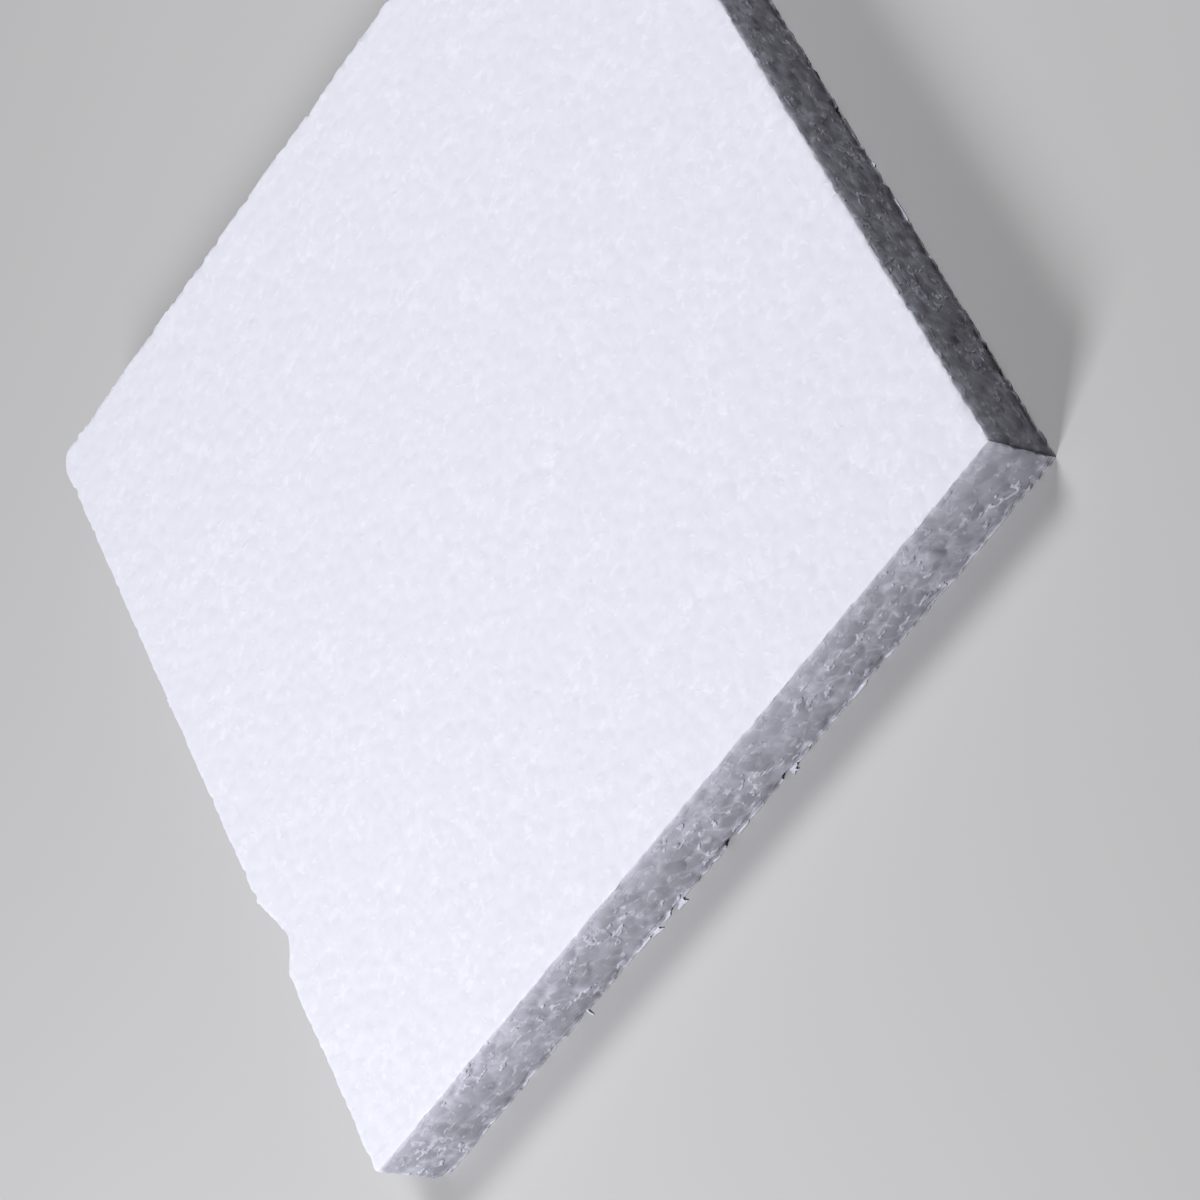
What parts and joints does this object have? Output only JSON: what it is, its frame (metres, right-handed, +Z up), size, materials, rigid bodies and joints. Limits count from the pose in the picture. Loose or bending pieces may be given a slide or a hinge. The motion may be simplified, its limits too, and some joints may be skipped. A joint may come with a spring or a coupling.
{
  "type": "foam block",
  "caption": "Flat square slab of white bead foam with ragged cut sides, a wedge broken out of its left side and single beads lost along its edges.",
  "frame": {"origin": "centre of the underside, on which the slab rests", "axes": "+Z up through the thickness, -Y out of the front side and +X out of the right side"},
  "size_m": [0.3, 0.3, 0.026],
  "materials": {
    "bead_foam": "matte white bead foam, with the fused beads showing and a faint sheen on their skins"
  },
  "bodies": {
    "root": {"foam_block": "bead_foam"}
  },
  "joints": []
}
